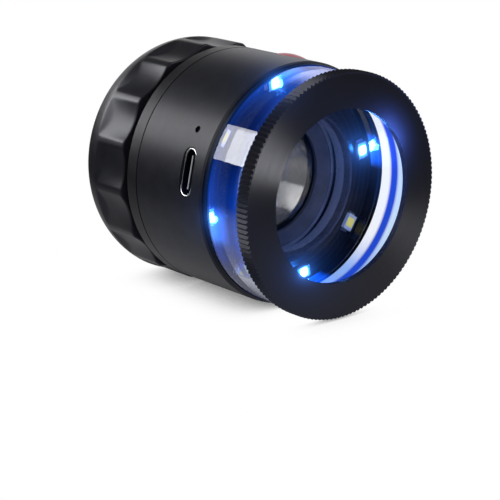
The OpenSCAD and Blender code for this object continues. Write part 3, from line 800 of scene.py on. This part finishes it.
# Stage: floor, light, camera
def make_floor():
    """White glowing table with a soft shade painted beside the loupe, and that gives gloss little to mirror.
    """
    mesh = bpy.data.meshes.new("floor")
    shape = bmesh.new()
    bmesh.ops.create_grid(shape, x_segments=8, y_segments=8, size=FLOOR_HALF)
    shape.to_mesh(mesh)
    shape.free()
    floor = bpy.data.objects.new("floor", mesh)
    SCENE.collection.objects.link(floor)
    graph = Graph("pale_floor")
    lit = 1.0
    # Painted shade: the glow is darkened where things are near, not by the lights
    for facing, strength, power in FLOOR_SHADES:
        shade = graph.node("ShaderNodeAmbientOcclusion", samples=12)
        shade.inputs["Distance"].default_value = FLOOR_SHADE_REACH
        graph.feed(shade.inputs["Normal"], graph.vector(*facing))
        covered = graph.math("SUBTRACT", 1.0, shade.outputs["AO"], clamp=True)
        left = graph.math("MULTIPLY_ADD", graph.math("POWER", covered, power), -strength, 1.0)
        lit = graph.product(lit, left)
    # Gloss finds the lit table only near the object, and a dark room beyond, both painted into the floor's
    # glow for mirrored rays
    away = graph.length(graph.node("ShaderNodeTexCoord").outputs["Object"])
    mirrored = graph.product(graph.spread(away, *TABLE_EDGE, TABLE_GLOSS, ROOM_GLOSS), lit)
    table = graph.math("MULTIPLY_ADD", graph.mirrored_ray(), graph.math("SUBTRACT", mirrored, 1.0), 1.0)
    graph.set(
        Base_Color=(0.0, 0.0, 0.0),
        Roughness=1.0,
        Specular_IOR_Level=0.0,
        Emission_Color=(1.0, 1.0, 1.0),
        Emission_Strength=graph.product(lit, table),
    )
    mesh.materials.append(graph.material)


def make_world():
    """White to see. Surfaces are lit from above, and mirror a dark room with a pale backdrop."""
    world = bpy.data.worlds.new("studio")
    world.use_nodes = True
    SCENE.world = world
    graph = Graph(tree=world.node_tree)
    graph.tree.nodes.clear()
    split = graph.node("ShaderNodeSeparateXYZ")
    graph.feed(split.inputs[0], graph.node("ShaderNodeTexCoord").outputs["Generated"])
    x, y, z = split.outputs
    ahead = graph.math("ADD", graph.product(x, BACKDROP[0]), graph.product(y, BACKDROP[1]))
    low = graph.spread(z, 0.30, 0.60, 1.0, 0.0)
    backdrop = graph.product(graph.spread(ahead, 0.45, 0.95, 0.0, BACKDROP_GLOSS), low)
    overhead = graph.spread(z, 0.6, 0.97, ROOM_GLOSS, OVERHEAD_GLOSS)
    ray = graph.node("ShaderNodeLightPath")
    white = graph.background(1.0)
    lit = graph.background(graph.spread(z, 0.0, 0.9, FILL_LOW, FILL_HIGH))
    mirrored = graph.background(graph.math("ADD", overhead, backdrop))
    seen = graph.blend(ray.outputs["Is Diffuse Ray"], white, lit)
    output = graph.node("ShaderNodeOutputWorld")
    graph.feed(output.inputs[0], graph.blend(graph.mirrored_ray(), seen, mirrored))


def receivers(name, *pieces):
    """A collection of the named pieces, for a light that only they catch."""
    caught = bpy.data.collections.new(name)
    for piece in pieces:
        caught.objects.link(bpy.data.objects[piece])
    return caught


def card(name, location, target, size, radiance, pieces=None, along=None):
    """A soft rectangle of light that only gloss sees, and only that of the pieces where they are given."""
    width, height = size
    data = bpy.data.lights.new(name, "AREA")
    data.shape = "RECTANGLE"
    data.size = width
    data.size_y = height
    data.energy = radiance * math.pi * width * height
    light = bpy.data.objects.new(name, data)
    SCENE.collection.objects.link(light)
    back = (Vector(location) - Vector(target)).normalized()
    side = Vector(along) if along else Vector((0, 0, 1)).cross(back)
    side = (side - back * side.dot(back)).normalized()
    turn = Matrix((side, back.cross(side), back)).transposed().to_4x4()
    light.matrix_world = Matrix.Translation(location) @ turn
    light.visible_camera = False
    light.visible_diffuse = False
    if pieces:
        light.light_linking.receiver_collection = receivers(name, *pieces)


def point_glow(name, location, size_mm, colour, watts, caught, mirrored=False):
    """A soft point of light that only some pieces catch, and that shows in mirrors only where asked."""
    data = bpy.data.lights.new(name, "POINT")
    data.energy = watts
    data.color = colour
    data.shadow_soft_size = size_mm * MM
    light = bpy.data.objects.new(name, data)
    light.location = location
    light.visible_camera = False
    light.visible_glossy = mirrored
    light.visible_transmission = mirrored
    light.light_linking.receiver_collection = caught
    SCENE.collection.objects.link(light)


def make_cards():
    """Strips and cards of the studio, in metres."""
    eye_end = ("fluted_grip", "stepped_eye_ring")
    sides = ("barrel_shell", "rear_collar", "power_button", *eye_end)
    # Long strips parallel to the barrel: those behind show from ahead, and those ahead from behind
    for name, clock, along, radiance, pieces in (
        ("strip_left", -50, 0.5, STRIP, None),
        ("strip_right", 66, 0.5, STRIP_RIGHT, sides),
        ("strip_ahead_left", -52, -0.6, STRIP_AHEAD, sides),
        ("strip_ahead_right", 52, -0.6, STRIP_AHEAD, sides),
    ):
        middle = place(0, STRIP_DISTANCE, clock)
        location = (middle.x, along, middle.z)
        card(name, location, (0, along, AXIS_Z), STRIP_SIZE, radiance, pieces, (0, 1, 0))
    # A card behind, for the rear rim, and one straight ahead of the mouth, for the turned face of the ring
    card("rear_card", (-0.25, 0.9, 0.42), (0, 0.02, AXIS_Z), (0.5, 0.2), REAR_CARD, eye_end)
    front = ("base_ring", "light_window", "circuit_board", "inner_sleeve", "lens_tube", "lens_retainer")
    card("front_card", (-0.07, -0.81, 0.125), (0, -0.02, 0.02), (0.5, 0.14), FRONT_CARD, front)


def make_glows():
    """Light of the lit chips, of the window that carries it, on the way in to the lens and on the ring."""
    reached = receivers("reached_by_leds", *(node.name for node in NODES.values()))
    for number, clock in enumerate(LIT_ANGLES):
        location = place(LED_FRONT - LED_GLOW_AHEAD, LED_RADIUS, clock)
        point_glow(
            f"led_glow_{number}", location, LED_GLOW_SIZE, LED_BLUE, LED_POWER, reached, mirrored=True
        )
    for number in range(WINDOW_GLOWS):
        clock = LIT_ANGLES[0] + 360 * (number + 0.5) / WINDOW_GLOWS
        location = place(WINDOW_MIDDLE, WINDOW_GLOW_RADIUS, clock)
        point_glow(f"window_glow_{number}", location, WINDOW_GLOW_SIZE, LED_BLUE, WINDOW_POWER, reached)
    throat = receivers("throat_glow", "inner_sleeve", "lens_tube", "lens_retainer")
    location = place(*THROAT_GLOW_PLACE)
    point_glow("throat_glow", location, THROAT_GLOW_SIZE, THROAT_BLUE, THROAT_POWER, throat)
    ring = receivers("ring_flare", "base_ring")
    for spot in FLARE_PLACES:
        point_glow("ring_flare", place(*spot), FLARE_SIZE, FLARE_BLUE, FLARE_POWER, ring)


def make_camera():
    data = bpy.data.cameras.new("camera")
    data.sensor_width = CAMERA_SENSOR
    data.lens = CAMERA_LENS
    data.clip_start, data.clip_end = CAMERA_CLIP
    camera = bpy.data.objects.new("camera", data)
    camera.location = CAMERA_PLACE
    camera.rotation_mode = "QUATERNION"
    camera.rotation_quaternion = Vector(CAMERA_FORWARD).to_track_quat("-Z", "Y")
    SCENE.collection.objects.link(camera)
    SCENE.camera = camera


def make_glare():
    """Bloom round the lit lights."""
    SCENE.use_nodes = True
    tree = SCENE.node_tree
    tree.nodes.clear()
    layers = tree.nodes.new("CompositorNodeRLayers")
    glare = tree.nodes.new("CompositorNodeGlare")
    glare.glare_type = "BLOOM"
    for key, value in BLOOM.items():
        glare.inputs[key].default_value = value
    output = tree.nodes.new("CompositorNodeComposite")
    tree.links.new(layers.outputs["Image"], glare.inputs["Image"])
    tree.links.new(glare.outputs[0], output.inputs[0])


# Outside
body = anodised("anodised_body", *ANODISED, 0.36, 9.0, 0.0015, Specular_IOR_Level=0.2, Specular_Tint=COOL)
dress(body, "barrel_shell")
grip = anodised("anodised_grip", *ANODISED, 0.33, 6.0, 0.001, Specular_IOR_Level=0.24, Specular_Tint=COOL)
dress(grip, "focus_grip")
make_grip(grip)
dress(collar_material(), "rear_collar")
make_seam()
dress(ring_material(), "base_ring")
dress(bezel_material(), "window_bezel")
dress(window_material(), "light_window")
dress(moulded("red_button", (0.55, 0.012, 0.022), 0.34), "power_button")

# Charging socket and status light
steel = steel_material()
dress(steel, "usb_shell")
make_socket_shell(steel)
make_tongue_plate()
dress(moulded("socket_insert", (0.004, 0.004, 0.005), 0.5, Specular_IOR_Level=0.1), "usb_insert")
dress(metal("contact_gold", (0.78, 0.58, 0.24), 0.22), "usb_contacts")
pipe = moulded("smoked_pipe", (0.003, 0.003, 0.004), 0.3, 3.0, 0.001, Specular_IOR_Level=0.05)
dress(pipe, "status_light_pipe")

# Sleeve, lens mounts and eye ring
dress(sleeve_material(), "inner_sleeve")
# The tube's black is painted paler and bluer, standing in for the blue light that it catches
tube = anodised("lens_tube_black", (0.045, 0.050, 0.062), (0.060, 0.065, 0.080), 0.3, 3.0, 0.004)
dress(tube, "lens_tube")
retainer = anodised(
    "retainer_black", (0.014, 0.016, 0.022), (0.020, 0.023, 0.032), 0.5, 3.0, 0.004,
    Specular_IOR_Level=0.1,
)
dress(retainer, "lens_retainer")
spacer = anodised(
    "lens_spacer_black", (0.022, 0.025, 0.034), (0.030, 0.033, 0.045), 0.12, 3.0, 0.0, 0.0,
    Specular_IOR_Level=0.9,
)
dress(spacer, "lens_spacer")
dish = anodised("eye_dish_black", (0.009, 0.009, 0.010), (0.014, 0.014, 0.015), 0.5, 2.2, 0.03)
dress(dish, "eye_ring")
make_eye_ring(dish)

# Board and lights
dress(board_material(), "circuit_board")
dress(moulded("led_case_white", (0.82, 0.82, 0.78), 0.35, 8.0, 0.003), "white_led_cases", "status_led")
case_grey = moulded("led_case_grey", (0.18, 0.18, 0.20), 0.45, 8.0, 0.003, Specular_IOR_Level=0.1)
dress(case_grey, "blue_led_cases")
phosphor = moulded("led_phosphor", (0.86, 0.74, 0.16), 0.25, 6.0, 0.006)
# Painted glow: the phosphor shines faintly in its own yellow
phosphor.set(Emission_Color=(0.86, 0.74, 0.2), Emission_Strength=0.35)
dress(phosphor, "white_led_phosphors")
dress(emitter_material(), "blue_led_emitters")
make_terminals()

# Glass, and what the case hides
edge_paint = moulded("glass_edge_paint", (0.006, 0.006, 0.007), 0.6, Specular_IOR_Level=0.0)
dress_glass(glass("crown_glass", 1.52), edge_paint, "objective_crown", "eye_lens")
dress_glass(glass("flint_glass", 1.62), edge_paint, "objective_flint")
dress(moulded("seal_rubber", (0.010, 0.010, 0.011), 0.55), "focus_o_ring")
dress(moulded("plunger_white", (0.7, 0.7, 0.66), 0.4), "switch_plunger")
dress(moulded("package_black", (0.012, 0.012, 0.013), 0.5), "switch_case", "control_chips", "chip_resistors")
dress(metal("cell_foil", (0.6, 0.62, 0.66), 0.32, 2.0), "battery_cell")
dress(moulded("lead_sleeve", (0.5, 0.03, 0.02), 0.4), "battery_leads")

# Clear pieces let light through without a shadow
for clear in ("light_window", "objective_crown", "objective_flint", "eye_lens"):
    NODES[clear].visible_shadow = False

make_floor()
make_world()
make_cards()
make_glows()
make_camera()
make_glare()
SCENE.view_settings.view_transform = "Standard"
